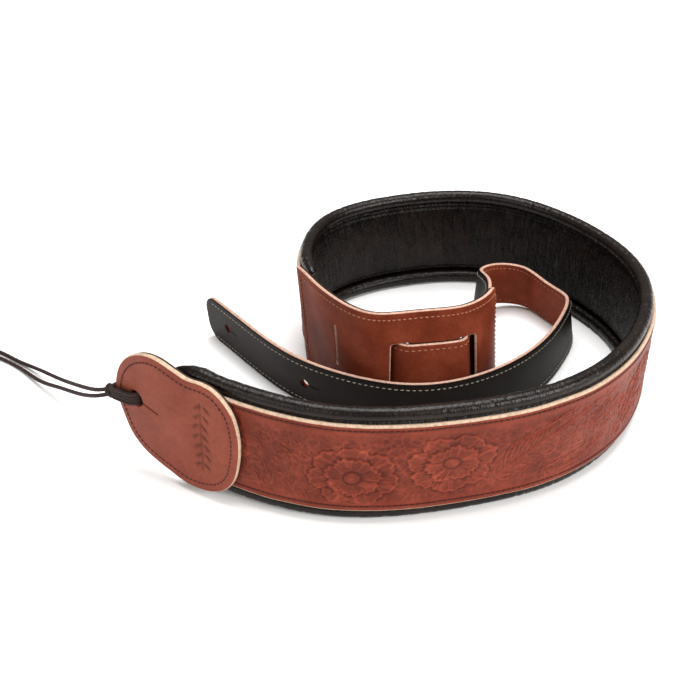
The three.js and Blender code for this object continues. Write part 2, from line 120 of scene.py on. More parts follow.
class Path:
    """A route as a smooth curve, with its distances along."""

    def __init__(self, route):
        cp = np.array(route, float)
        cp = np.vstack([2 * cp[0] - cp[1], cp, 2 * cp[-1] - cp[-2]])
        rows = []
        for k in range(len(cp) - 3):
            last = k == len(cp) - 4
            for j in range(24 + last):
                t = j / 24
                b = [(1 - t) ** 3, 3 * t**3 - 6 * t * t + 4, -3 * t**3 + 3 * t * t + 3 * t + 1, t**3]
                rows.append(sum(b[m] * cp[k + m] for m in range(4)) / 6)
        self.rows = np.array(rows)
        self.along = lengths(self.rows[:, :2])
        self.length = self.along[-1]
        ahead = np.vstack([self.rows[1:], self.rows[-1:]])[:, :2]
        behind = np.vstack([self.rows[:1], self.rows[:-1]])[:, :2]
        t = ahead - behind
        self.tangent = t / np.linalg.norm(t, axis=1)[:, None]

    def at(self, s, w, n):
        """Points in millimetres at s along, w up the strip and n to the left across it."""
        s, w, n = np.broadcast_arrays(np.asarray(s, float), np.asarray(w, float), np.asarray(n, float))
        i = np.clip(np.searchsorted(self.along, s, "right") - 1, 0, len(self.along) - 2)
        t = (s - self.along[i]) / (self.along[i + 1] - self.along[i])
        row = self.rows[i] + (self.rows[i + 1] - self.rows[i]) * t[..., None]
        c = np.clip(t, 0, 1)[..., None]
        tan = self.tangent[i] * (1 - c) + self.tangent[i + 1] * c
        tan = tan / np.linalg.norm(tan, axis=-1, keepdims=True)
        left = np.stack([-tan[..., 1], tan[..., 0]], -1)
        lean = np.radians(row[..., 3])
        across = np.sin(lean) * w + np.cos(lean) * n
        out = np.empty(s.shape + (3,))
        out[..., :2] = row[..., :2] + left * across[..., None] - MIDDLE[:2]
        out[..., 2] = row[..., 2] + np.cos(lean) * w - np.sin(lean) * n - MIDDLE[2]
        return out


spine = Path(SPINE)
panel = Path(PANEL)


def threaded_route():
    """The tail's last length, in and out of the slots, as route points of its own."""
    points = []
    for s, n in TAIL_THREADED:
        x, y, z = panel.at(s, TAIL_RISE, n) + MIDDLE
        points.append([x, y, z, -np.interp(s, panel.along, panel.rows[:, 3])])
    return points


tail = Path(TAIL_FREE + threaded_route())
TAIL_END = tail.length - 1


def metres(x, y, z):
    """A route point in the row frame, in metres."""
    return Vector(((x - MIDDLE[0]) * MM, (y - MIDDLE[1]) * MM, (z - MIDDLE[2]) * MM))


# ---- camera --------------------------------------------------------------------------
CAMERA_LENS = 51.43
CAMERA_AT = (20, -563.99, 390.09)
CAMERA_AIM = (20, 10, 0)


def make_camera():
    data = bpy.data.cameras.new("camera")
    data.lens = CAMERA_LENS
    data.sensor_width = 36
    data.clip_end = 20
    cam = bpy.data.objects.new("camera", data)
    bpy.context.scene.collection.objects.link(cam)
    cam.location = metres(*CAMERA_AT)
    aim = metres(*CAMERA_AIM) - cam.location
    cam.rotation_euler = aim.to_track_quat("-Z", "Y").to_euler()
    bpy.context.scene.camera = cam


make_camera()


# ---- mesh helpers ----------------------------------------------------------------------
def new_object(name, verts, faces, material, place=None, cream=None, relief=None):
    """A mesh object from points in millimetres, with what its material reads stored on it."""
    mesh = bpy.data.meshes.new(name)
    mesh.from_pydata((np.asarray(verts) * MM).tolist(), [], [list(map(int, f)) for f in faces])
    mesh.validate()
    for key, kind, values in (
        ("place", "FLOAT_VECTOR", place),
        ("cream", "FLOAT", cream),
        ("relief", "FLOAT", relief),
    ):
        if values is None:
            continue
        layer = mesh.attributes.new(key, kind, "POINT")
        field = "vector" if kind == "FLOAT_VECTOR" else "value"
        layer.data.foreach_set(field, np.asarray(values, np.float32).ravel())
    mesh.shade_smooth()
    mesh.materials.append(material)
    obj = bpy.data.objects.new(name, mesh)
    bpy.context.scene.collection.objects.link(obj)
    return obj


def face_out(obj):
    """Turns a closed mesh's faces outwards."""
    bm = bmesh.new()
    bm.from_mesh(obj.data)
    bmesh.ops.recalc_face_normals(bm, faces=bm.faces)
    if bm.calc_volume(signed=True) < 0:
        bmesh.ops.reverse_faces(bm, faces=bm.faces)
    bm.to_mesh(obj.data)
    bm.free()
    return obj


def lofted(name, path, rings, material, cream=None, relief=None):
    """A closed body through rings of (s, w, n), shape (M, K, 3), with a cap at each end."""
    m, k, _ = rings.shape
    flat = rings.reshape(-1, 3)
    verts = path.at(flat[:, 0], flat[:, 1], flat[:, 2])
    i = np.arange(m - 1)[:, None] * k
    j = np.arange(k)[None, :]
    j2 = (j + 1) % k
    quads = np.stack([i + j, i + j2, i + k + j2, i + k + j], -1).reshape(-1, 4)
    faces = quads.tolist()
    for base, ring in ((0, rings[0]), ((m - 1) * k, rings[-1])):
        centre = len(verts)
        middle = ring.mean(0)
        verts = np.vstack([verts, path.at(*middle)[None]])
        flat = np.vstack([flat, middle[None]])
        faces += [[base + a, base + (a + 1) % k, centre] for a in range(k)]

    def capped(values):
        return None if values is None else np.concatenate([np.asarray(values).ravel(), [0, 0]])

    return face_out(new_object(name, verts, faces, material, flat, capped(cream), capped(relief)))


def offset_loop(loop, d):
    """A closed loop of (s, w) moved to its left by d."""
    a = np.roll(loop, 1, 0)
    b = np.roll(loop, -1, 0)
    t = b - a
    t /= np.linalg.norm(t, axis=1)[:, None] + 1e-9
    return loop + np.stack([-t[:, 1], t[:, 0]], 1) * d


def inside(points, loop):
    """Which points lie inside a closed loop."""
    x, y = points[:, 0], points[:, 1]
    hit = np.zeros(len(points), bool)
    a = loop
    b = np.roll(loop, -1, 0)
    for (x0, y0), (x1, y1) in zip(a, b):
        if y0 == y1:
            continue
        cross = (y0 > y) != (y1 > y)
        hit ^= cross & (x < (x1 - x0) * (y - y0) / (y1 - y0) + x0)
    return hit


def resample(loop, step):
    """A closed loop with even spacing, counter-clockwise."""
    loop = np.asarray(loop, float)
    area = np.sum(loop[:, 0] * np.roll(loop[:, 1], -1) - np.roll(loop[:, 0], -1) * loop[:, 1])
    if area < 0:
        loop = loop[::-1]
    closed = np.vstack([loop, loop[:1]])
    total = lengths(closed)
    count = max(8, int(round(total[-1] / step)))
    return sample(closed, total, np.linspace(0, total[-1], count, endpoint=False))


def plate(name, path, outline, holes, n0, n1, material, step=2.0, edge=0.35, cream=1.0,
          shape=None, loop_step=1.2, hole_cream=0.0):
    """A flat piece of leather cut to an outline with holes, laid on a path, with rounded edges.

    shape(s, w, n) gives a shift across the strip and a relief; n0 is the outer face, n1 the inner."""
    loops = [resample(outline, loop_step)] + [resample(h, loop_step * 0.6) for h in holes]
    insets = [offset_loop(loops[0], edge)] + [offset_loop(h, -edge) for h in loops[1:]]
    lo, hi = loops[0].min(0), loops[0].max(0)
    xs = np.arange(lo[0] + step * 0.7, hi[0], step)
    ys = np.arange(lo[1] + step * 0.7, hi[1], step)
    grid = np.stack(np.meshgrid(xs, ys, indexing="ij"), -1).reshape(-1, 2)
    keep = inside(grid, offset_loop(loops[0], edge + step * 0.45))
    for h in loops[1:]:
        keep &= ~inside(grid, offset_loop(h, -(edge + step * 0.3)))
    grid = grid[keep]
    points = np.vstack(insets + [grid])
    edges = []
    start = 0
    for loop in insets:
        size = len(loop)
        edges += [(start + a, start + (a + 1) % size) for a in range(size)]
        start += size
    got = delaunay_2d_cdt([Vector(p) for p in points], edges, [], 0, 1e-5)
    flat = np.array([[v.x, v.y] for v in got[0]])
    origin = [list(o) for o in got[3]]
    tris = np.array([list(f) for f in got[2]])
    centre = flat[tris].mean(1)
    good = inside(centre, insets[0])
    for h in insets[1:]:
        good &= ~inside(centre, h)
    tris = tris[good]
    index_of = {}
    for new, olds in enumerate(origin):
        for old in olds:
            index_of[old] = new
    count = len(flat)
    place = [np.column_stack([flat, np.full(count, n0)]), np.column_stack([flat, np.full(count, n1)])]
    paint = [np.zeros(count), np.zeros(count)]
    faces = [t.tolist() for t in tris] + [[a + count, c + count, b + count] for a, b, c in tris]
    total = 2 * count
    start = 0
    turn = 1 if n1 > n0 else -1
    for which, (loop, inset) in enumerate(zip(loops, insets)):
        size = len(loop)
        tint = hole_cream if which else cream
        rim = [index_of[start + a] for a in range(size)]
        mid = inset * 0.55 + loop * 0.45
        thick = abs(n1 - n0)
        e = min(edge, thick * 0.4) * turn
        layers = [
            (mid, n0 + e * 0.18, 0.8),
            (loop, n0 + e, 1),
            (loop, n1 - e, 1),
            (mid, n1 - e * 0.18, 0.8),
        ]
        rings = [rim]
        for line, n, value in layers:
            place.append(np.column_stack([line, np.full(size, n)]))
            paint.append(np.full(size, value * tint))
            rings.append(list(range(total, total + size)))
            total += size
        rings.append([r + count for r in rim])
        for r0, r1 in zip(rings[:-1], rings[1:]):
            for a in range(size):
                b = (a + 1) % size
                faces.append([r0[a], r1[a], r1[b], r0[b]])
        start += size
    place = np.vstack(place)
    paint = np.concatenate(paint)
    moved = place.copy()
    relief = np.zeros(len(place))
    if shape is not None:
        shift, relief = shape(place[:, 0], place[:, 1], place[:, 2])
        moved[:, 2] += shift
    verts = path.at(moved[:, 0], moved[:, 1], moved[:, 2])
    return face_out(new_object(name, verts, faces, material, place, paint, relief))


# a stitch's rings: how far along it, how wide, and how high out of the leather
STITCH_RINGS = (
    (-0.5, 0.25, -0.6), (-0.42, 0.8, 0.2), (-0.15, 1, 0.9),
    (0.15, 1, 0.9), (0.42, 0.8, 0.2), (0.5, 0.25, -0.6),
)


def stitches(name, path, line, n, side, material, pitch, length, width, height=0.3, closed=False, shape=None):
    """A row of separate stitches along a line of (s, w), standing out of the face at n."""
    line = np.asarray(line, float)
    if closed:
        line = np.vstack([line, line[:1]])
    total = lengths(line)
    count = int(total[-1] / pitch)
    pitch = total[-1] / count
    verts, faces = [], []
    across = np.array([0, 60, 120, 180, 240, 300]) * math.pi / 180
    for c in range(count):
        mid = (c + 0.5) * pitch
        p = sample(line, total, mid)
        d = sample(line, total, mid + 0.4) - p
        d /= np.linalg.norm(d) + 1e-9
        d = d + RNG.normal(0, 0.03, 2)
        side_d = np.array([-d[1], d[0]])
        base = len(verts)
        for x, r, lift in STITCH_RINGS:
            for a in across:
                sw = p + d * x * length + side_d * math.cos(a) * width / 2 * r
                verts.append([sw[0], sw[1], n + side * (lift * height + math.sin(a) * height * r * 0.8)])
        for ring in range(5):
            for a in range(6):
                b = (a + 1) % 6
                low = base + ring * 6
                faces.append([low + a, low + b, low + 6 + b, low + 6 + a])
        faces.append([base + a for a in range(5, -1, -1)])
        faces.append([base + 30 + a for a in range(6)])
    verts = np.array(verts)
    if shape is not None:
        verts[:, 2] += shape(verts[:, 0], verts[:, 1], verts[:, 2])[0]
    points = path.at(verts[:, 0], verts[:, 1], verts[:, 2])
    return face_out(new_object(name, points, faces, material, verts))


def between(a, b, c, d, t):
    """The point a share t of the way from b to c, on the smooth line through a, b, c and d."""
    return 0.5 * (2 * b + (c - a) * t + (2 * a - 5 * b + 4 * c - d) * t * t + (3 * b - a - 3 * c + d) * t**3)


def smooth_points(points, count):
    """Points evenly spread along a smooth line through the given ones."""
    p = np.asarray(points, float)
    p = np.vstack([2 * p[0] - p[1], p, 2 * p[-1] - p[-2]])
    out = []
    for k in range(1, len(p) - 2):
        for t in np.linspace(0, 1, 16, endpoint=False):
            out.append(between(*p[k - 1 : k + 3], t))
    out.append(p[-2])
    out = np.array(out)
    total = lengths(out)
    return sample(out, total, np.linspace(0, total[-1], count)), total[-1]


def tube(name, points, radius, material, closed=False, ridges=0.0, twist=0.0, sides=12):
    """A round tube through points in millimetres of the row frame."""
    p = np.asarray(points, float)
    m = len(p)
    if closed:
        t = np.roll(p, -1, 0) - np.roll(p, 1, 0)
    else:
        t = np.gradient(p, axis=0)
    t /= np.linalg.norm(t, axis=1)[:, None]
    up = np.array([0.0, 0.0, 1.0]) if abs(t[0][2]) < 0.9 else np.array([1.0, 0.0, 0.0])
    u = np.cross(t[0], up)
    u /= np.linalg.norm(u)
    frames = []
    for k in range(m):
        u = u - t[k] * (u @ t[k])
        u /= np.linalg.norm(u)
        frames.append((u, np.cross(t[k], u)))
    if closed:
        # spread the leftover turn over the whole loop, so that the seam closes
        u0, v0 = frames[0]
        u1 = frames[-1][0] - t[0] * (frames[-1][0] @ t[0])
        u1 /= np.linalg.norm(u1)
        left = math.atan2(u1 @ v0, u1 @ u0)
    else:
        left = 0.0
    verts, place = [], []
    along = 0.0
    for k in range(m):
        if k:
            along += float(np.linalg.norm(p[k] - p[k - 1]))
        fu, fv = frames[k]
        for j in range(sides):
            a = 2 * math.pi * j / sides
            b = a - left * k / m
            rr = radius * (1 + ridges * math.cos(3 * a + twist * along))
            verts.append(p[k] + (fu * math.cos(b) + fv * math.sin(b)) * rr)
            place.append([along, a * radius, 0])
    faces = []
    rings = m if closed else m - 1
    for k in range(rings):
        k2 = (k + 1) % m
        for j in range(sides):
            j2 = (j + 1) % sides
            faces.append([k * sides + j, k * sides + j2, k2 * sides + j2, k2 * sides + j])
    if not closed:
        faces.append(list(range(sides - 1, -1, -1)))
        faces.append([(m - 1) * sides + j for j in range(sides)])
    return face_out(new_object(name, verts, faces, material, place))


def ripple(s, seed, scale):
    """Smooth repeatable noise along s, from -1 to 1."""
    rng = np.random.default_rng(seed)
    grid = rng.uniform(-1, 1, 4096)
    x = np.asarray(s, float) / scale + 100
    i = np.floor(x).astype(int)
    t = x - i
    t = t * t * (3 - 2 * t)
    return grid[i % 4096] * (1 - t) + grid[(i + 1) % 4096] * t


def ripple2(s, w, seed, scale_s, scale_w):
    """Smooth repeatable noise over a surface, from -1 to 1."""
    rng = np.random.default_rng(seed)
    grid = rng.uniform(-1, 1, (512, 512))
    x = np.asarray(s, float) / scale_s + 60
    y = np.asarray(w, float) / scale_w + 60
    i, j = np.floor(x).astype(int), np.floor(y).astype(int)
    u, v = x - i, y - j
    u, v = u * u * (3 - 2 * u), v * v * (3 - 2 * v)

    def row(k):
        return grid[i % 512, k % 512] * (1 - u) + grid[(i + 1) % 512, k % 512] * u

    return row(j) * (1 - v) + row(j + 1) * v


# ---- materials ----------------------------------------------------------------------------
CREAM = (0.52, 0.37, 0.265)
PINK_CREAM = (0.54, 0.34, 0.26)
DYED_EDGE = (0.03, 0.02, 0.016)


def material(name):
    """A new material, with its node tree and its shader."""
    mat = bpy.data.materials.new(name)
    mat.use_nodes = True
    tree = mat.node_tree
    shader = tree.nodes["Principled BSDF"]
    return mat, tree, shader


def node(tree, kind, **values):
    """A node with its settings and unlinked inputs given by name."""
    made = tree.nodes.new(kind)
    for key, value in values.items():
        if hasattr(made, key):
            setattr(made, key, value)
        else:
            made.inputs[key.replace("_", " ")].default_value = value
    return made


def ramp(tree, factor, *stops):
    """The colour that a ramp of (position, colour) stops gives for factor."""
    made = node(tree, "ShaderNodeValToRGB")
    elements = made.color_ramp.elements
    for element, (at, colour) in zip(elements, (stops[0], stops[-1])):
        element.position = at
        element.color = (*colour, 1)
    for at, colour in stops[1:-1]:
        elements.new(at).color = (*colour, 1)
    tree.links.new(factor, made.inputs["Fac"])
    return made.outputs["Color"]


def mapped(tree, value, low, high, to_low=0.0, to_high=1.0, **settings):
    """value, taken from low..high to to_low..to_high."""
    made = node(tree, "ShaderNodeMapRange", **settings)
    for key, number in (("From Min", low), ("From Max", high), ("To Min", to_low), ("To Max", to_high)):
        made.inputs[key].default_value = number
    tree.links.new(value, made.inputs["Value"])
    return made.outputs["Result"]


def multiplied(tree, share, colour, by):
    """colour times by, for a fixed share of the way."""
    made = node(tree, "ShaderNodeMix", data_type="RGBA", blend_type="MULTIPLY")
    made.inputs["Factor"].default_value = share
    tree.links.new(colour, made.inputs["A"])
    tree.links.new(by, made.inputs["B"])
    return made.outputs["Result"]


def leather(name, base, deep, light, rough, grain, bump, specular, cream_colour=CREAM, creases=0.0):
    """Finished leather: pores, cloudy colour, painted shade in the hollows and painted highlight on high
    places, and a raw pale fibre where it is cut.
    """
    mat, tree, shader = material(name)
    link = tree.links.new
    place = node(tree, "ShaderNodeAttribute", attribute_name="place")
    cream = node(tree, "ShaderNodeAttribute", attribute_name="cream")
    relief = node(tree, "ShaderNodeAttribute", attribute_name="relief")
    cloud = node(tree, "ShaderNodeTexNoise", Scale=0.045, Detail=4.0, Roughness=0.6)
    spots = node(tree, "ShaderNodeTexNoise", Scale=0.55, Detail=3.0, Roughness=0.6)
    pores = node(tree, "ShaderNodeTexVoronoi", Scale=grain)
    fine = node(tree, "ShaderNodeTexNoise", Scale=3.2, Detail=3.0, Roughness=0.65)
    for tex in (cloud, spots, pores, fine):
        link(place.outputs["Vector"], tex.inputs["Vector"])
    colour = ramp(tree, cloud.outputs["Fac"], (0.3, deep), (0.5, base), (0.7, light))
    specks = ramp(tree, spots.outputs["Fac"], (0.35, (0.62, 0.58, 0.56)), (0.62, (1.12, 1.1, 1.08)))
    colour = multiplied(tree, 0.35, colour, specks)
    # painted shade darkens the hollows and painted highlight lightens the high places, both read from the
    # relief
    relief_painted_light = mapped(tree, relief.outputs["Fac"], -0.5, 0.35, 0.4, 1.32)
    colour = multiplied(tree, 1, colour, relief_painted_light)
    # the raw cut edge, whose border wavers
    shadow = [c * 0.62 for c in cream_colour]
    raw = ramp(tree, spots.outputs["Fac"], (0.3, shadow), (0.6, cream_colour))
    where = node(tree, "ShaderNodeMath", operation="ADD")
    link(cream.outputs["Fac"], where.inputs[0])
    link(mapped(tree, fine.outputs["Fac"], 0.3, 0.7, -0.12, 0.12), where.inputs[1])
    cut = mapped(tree, where.outputs["Value"], 0.45, 0.7, interpolation_type="SMOOTHSTEP")
    edged = node(tree, "ShaderNodeMix", data_type="RGBA")
    link(cut, edged.inputs["Factor"])
    link(colour, edged.inputs["A"])
    link(raw, edged.inputs["B"])
    link(edged.outputs["Result"], shader.inputs["Base Color"])
    link(mapped(tree, spots.outputs["Fac"], 0.3, 0.7, *rough), shader.inputs["Roughness"])
    shader.inputs["Specular IOR Level"].default_value = specular
    heights = node(tree, "ShaderNodeMath", operation="MULTIPLY_ADD")
    link(fine.outputs["Fac"], heights.inputs[0])
    heights.inputs[1].default_value = 0.6
    link(pores.outputs["Distance"], heights.inputs[2])
    dents = node(tree, "ShaderNodeBump", Strength=bump, Distance=0.00022)
    link(heights.outputs["Value"], dents.inputs["Height"])
    link(dents.outputs["Normal"], shader.inputs["Normal"])
    if creases:
        # fine wrinkles in thin leather, longer across the strap than along it
        stretch = node(tree, "ShaderNodeVectorMath", operation="MULTIPLY")
        stretch.inputs[1].default_value = (0.42, 0.075, 0.2)
        wrinkle = node(tree, "ShaderNodeTexNoise", Scale=1.0, Detail=3.5, Roughness=0.6, Distortion=0.7)
        folds = node(tree, "ShaderNodeBump", Strength=creases, Distance=0.0009)
        link(place.outputs["Vector"], stretch.inputs[0])
        link(stretch.outputs["Vector"], wrinkle.inputs["Vector"])
        link(mapped(tree, wrinkle.outputs["Fac"], 0.36, 0.64), folds.inputs["Height"])
        link(folds.outputs["Normal"], dents.inputs["Normal"])
    return mat


def thread(name, colour, shine=0.3):
    """Twisted thread: fine diagonal ribs, painted shade in their grooves and painted highlight on their
    crests, and a slightly uneven colour.
    """
    mat, tree, shader = material(name)
    link = tree.links.new
    place = node(tree, "ShaderNodeAttribute", attribute_name="place")
    ribs = node(
        tree, "ShaderNodeTexWave", Scale=1.6, Distortion=0.4, wave_type="BANDS", bands_direction="DIAGONAL"
    )
    noise = node(tree, "ShaderNodeTexNoise", Scale=0.9, Detail=2.0)
    link(place.outputs["Vector"], ribs.inputs["Vector"])
    link(place.outputs["Vector"], noise.inputs["Vector"])
    both = node(tree, "ShaderNodeMath", operation="MULTIPLY_ADD")
    link(ribs.outputs["Fac"], both.inputs[0])
    both.inputs[1].default_value = 0.5
    link(noise.outputs["Fac"], both.inputs[2])
    # the rib pattern that makes the bumps also colours them: painted shade in the grooves, painted highlight
    # on the crests
    dark = [c * 0.55 for c in colour]
    bright = [min(1, c * 1.25) for c in colour]
    ribs_painted_shade = ramp(tree, both.outputs["Value"], (0, dark), (1, bright))
    link(ribs_painted_shade, shader.inputs["Base Color"])
    shader.inputs["Roughness"].default_value = 0.7
    shader.inputs["Specular IOR Level"].default_value = shine
    dents = node(tree, "ShaderNodeBump", Strength=0.6, Distance=0.0001)
    link(ribs.outputs["Fac"], dents.inputs["Height"])
    link(dents.outputs["Normal"], shader.inputs["Normal"])
    return mat


TOOLED = leather("tooled_leather", (0.195, 0.034, 0.017), (0.150, 0.024, 0.012), (0.240, 0.046, 0.024),
                 rough=(0.38, 0.50), grain=0.9, bump=0.3, specular=0.11)
TAB = leather("tab_leather", (0.232, 0.056, 0.033), (0.200, 0.045, 0.026), (0.268, 0.070, 0.043),
              rough=(0.40, 0.52), grain=1.4, bump=0.18, specular=0.08)
PLAIN = leather("plain_leather", (0.185, 0.036, 0.016), (0.140, 0.025, 0.011), (0.240, 0.052, 0.024),
                rough=(0.36, 0.50), grain=1.5, bump=0.15, specular=0.05, cream_colour=PINK_CREAM)
BLACK = leather("black_leather", (0.008, 0.0048, 0.0036), (0.005, 0.003, 0.0024), (0.013, 0.008, 0.006),
                rough=(0.19, 0.29), grain=1.6, bump=0.3, cream_colour=DYED_EDGE, specular=0.21,
                creases=0.2)
LINING = leather("lining_leather", (0.0065, 0.0036, 0.0027), (0.004, 0.0022, 0.0018), (0.011, 0.0062, 0.0048),
                 rough=(0.22, 0.34), grain=1.8, bump=0.3, cream_colour=DYED_EDGE, specular=0.13,
                 creases=0.5)
SUEDE = leather("strap_lining", (0.0085, 0.0048, 0.0036), (0.006, 0.0034, 0.0026), (0.0125, 0.0072, 0.0056),
                rough=(0.38, 0.5), grain=1.8, bump=0.3, cream_colour=DYED_EDGE, specular=0.07)
RED_THREAD = thread("red_thread", (0.05, 0.010, 0.008))
GREY_THREAD = thread("grey_thread", (0.30, 0.28, 0.225))
PINK_THREAD = thread("pink_thread", (0.34, 0.125, 0.07))
CORD = thread("lace_cord", (0.022, 0.011, 0.009), shine=0.25)

# ---- the lace ------------------------------------------------------------------------------
UPPER = [
    [-121.6, -95.6, 44.2], [-131, -88, 38.4], [-145, -70.4, 28], [-166, -43.7, 14], [-186.3, -21, 5],
    [-204.3, -6.4, 1.5], [-221.4, 5.6, 1.3], [-238, 13, 1.3], [-254, 10, 1.3], [-262, -4, 1.3],
    [-259, -19, 1.3], [-248.4, -27, 2.6],
]
LOWER = [
    [-121.6, -96.6, 41.2], [-131, -90.2, 35.4], [-144, -75.5, 25.6], [-164.3, -51.3, 12.6],
    [-183.4, -32.4, 4.2], [-202.4, -13.5, 1.3], [-219.3, -1.6, 1.3], [-235, 5, 1.3], [-247, 2, 1.3],
    [-252, -9, 1.3], [-248, -19, 1.3], [-244.4, -25.4, 2.6],
]
for name, route in (("upper", UPPER), ("lower", LOWER)):
    points, length = smooth_points(np.array(route) - MIDDLE, 130)
    made = tube(f"lace_{name}", points, LACE, CORD, ridges=0.06, twist=1.5)
    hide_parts(f"lace_{name}_strand")
    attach(made, "lace")


def end_knot():
    """An overhand knot in both strands, with two short ends."""
    c = np.array([-243.8, -31.2, 3.9]) - MIDDLE
    t = np.linspace(0, 2 * math.pi, 60, endpoint=False)
    # a trefoil, squashed a little, is the body of the knot
    x = (np.sin(t) + 2 * np.sin(2 * t)) * 0.85
    y = (np.cos(t) - 2 * np.cos(2 * t)) * 1.05
    z = -np.sin(3 * t) * 1.15
    knot = np.stack([x, y, z], 1) + c
    body = tube("lace_knot", knot, 1.25, CORD, closed=True)
    ends = []
    for k, route in enumerate((
        [[-244, -32, 3], [-241, -37, 1.9], [-237, -41, 1.4]],
        [[-245, -32, 3], [-245, -38, 1.9], [-243, -43, 1.4]],
    )):
        p, _ = smooth_points(np.array(route) - MIDDLE, 12)
        ends.append(tube(f"lace_tail_{k}", p, LACE, CORD))
    # each strand carries on into the knot
    for k, route in enumerate((
        [[-250.2, -25.7, 2.35], [-247.4, -28.2, 2.9], [-244.8, -31, 3.6]],
        [[-245.3, -23.8, 2.35], [-244.2, -27.6, 2.9], [-243.8, -31, 3.6]],
    )):
        p, _ = smooth_points(np.array(route) - MIDDLE, 12)
        ends.append(tube(f"lace_join_{k}", p, LACE * 0.98, CORD))
    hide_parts("lace_end_knot")
    for piece in [body] + ends:
        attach(piece, "lace")
    return [body] + ends


knot_pieces = end_knot()


def hitch():
    """The doubled lace wound through the tab's hole and round its tip, held by a cross turn."""
    pieces = []
    path = np.array([
        [16.5, -6.4], [20.2, -2.45], [16.5, 1.5], [8, 1.5], [0.5, 1.5], [-2.8, -2.45], [0.5, -6.4], [8, -6.5],
    ])
    for k, up in enumerate((-3.3, -1.1, 1.1, 3.3)):
        pts = []
        for i in range(len(path)):
            near = [path[(i + q) % len(path)] for q in (-1, 0, 1, 2)]
            for t in np.linspace(0, 1, 6, endpoint=False):
                pts.append(between(*near, t))
        pts = np.array(pts)
        squeeze = np.interp(pts[:, 0], [-3, 2, 10, 20], [0.62, 0.85, 1.0, 0.9])
        w = 44 + (pts[:, 0] - 19) * 0.2 + up * squeeze + RNG.normal(0, 0.08, len(pts))
        n = pts[:, 1] + np.where(abs(up) > 2, 0.25, 0) * np.sign(pts[:, 1] + 2.1)
        line = spine.at(pts[:, 0], w, n)
        pieces.append(tube(f"lace_wrap_{k}", line, 1.2, CORD, closed=True))
    centre = np.array([-118.6, -97.8, 44.9]) - MIDDLE
    turn = np.linspace(0, 2 * math.pi, 30, endpoint=False)
    for k, shift in enumerate((-0.9, 1.2)):
        dx = np.array([-0.8, 0.6, 0]) * shift
        round_ = np.stack([np.sin(turn) * 2.1 * 0.6, np.sin(turn) * 2.1 * 0.8, np.cos(turn) * 3.4], 1)
        ring = centre + dx + round_
        pieces.append(tube(f"lace_collar_{k}", ring, 1.15, CORD, closed=True))
    for k, route in enumerate((
        [[-115.5, -98.6, 45.9], [-118.2, -98, 45.4], [-121.4, -95.8, 44.3]],
        [[-115.5, -98.6, 43.4], [-118.2, -98, 43.2], [-121.4, -96.7, 41.3]],
    )):
        p, _ = smooth_points(np.array(route) - MIDDLE, 12)
        pieces.append(tube(f"lace_stub_{k}", p, LACE, CORD))
    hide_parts("lace_hitch")
    for piece in pieces:
        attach(piece, "tab_head")


hitch()

# ---- the tooled leather of the band ---------------------------------------------------------
TOOL_STEP = 0.5
BLOOMS = [(152, 33), (206, 39), (350, 36), (404, 41), (548, 36), (602, 41), (742, 37)]
FRONDS = [232, 430, 628]


def stamp(field, s_axis, w_axis, line, height, width):
    """Raises a ridge (or presses a groove, if height is negative) along a line of (s, w)."""
    line = np.asarray(line, float)
    lo = line.min(0) - 3 * width
    hi = line.max(0) + 3 * width
    i0, i1 = np.searchsorted(s_axis, [lo[0], hi[0]])
    j0, j1 = np.searchsorted(w_axis, [lo[1], hi[1]])
    if i1 <= i0 or j1 <= j0:
        return
    ss, ww = np.meshgrid(s_axis[i0:i1], w_axis[j0:j1], indexing="ij")
    best = np.full(ss.shape, 1e9)
    where = np.zeros(ss.shape)
    for k in range(len(line) - 1):
        a, b = line[k], line[k + 1]
        d = b - a
        size = d @ d + 1e-9
        t = np.clip(((ss - a[0]) * d[0] + (ww - a[1]) * d[1]) / size, 0, 1)
        dist = np.hypot(ss - a[0] - t * d[0], ww - a[1] - t * d[1])
        closer = dist < best
        best = np.where(closer, dist, best)
        where = np.where(closer, (k + t) / (len(line) - 1), where)
    fade = np.sin(np.clip(where, 0.05, 0.95) * math.pi) ** 0.5
    mark = height * fade * np.exp(-((best / width) ** 2))
    beside = -0.4 * height * fade * np.exp(-(((best - 2.0 * width) / width) ** 2))
    block = field[i0:i1, j0:j1]
    share = np.exp(-((best / width) ** 2))
    field[i0:i1, j0:j1] = block * (1 - 0.6 * share) + mark + beside


def bend_line(a, b, sag, count=7):
    """A bowed line between two points."""
    a, b = np.asarray(a, float), np.asarray(b, float)
    t = np.linspace(0, 1, count)[:, None]
    d = b - a
    side = np.array([-d[1], d[0]])
    return a + d * t + side * sag * (4 * t * (1 - t))


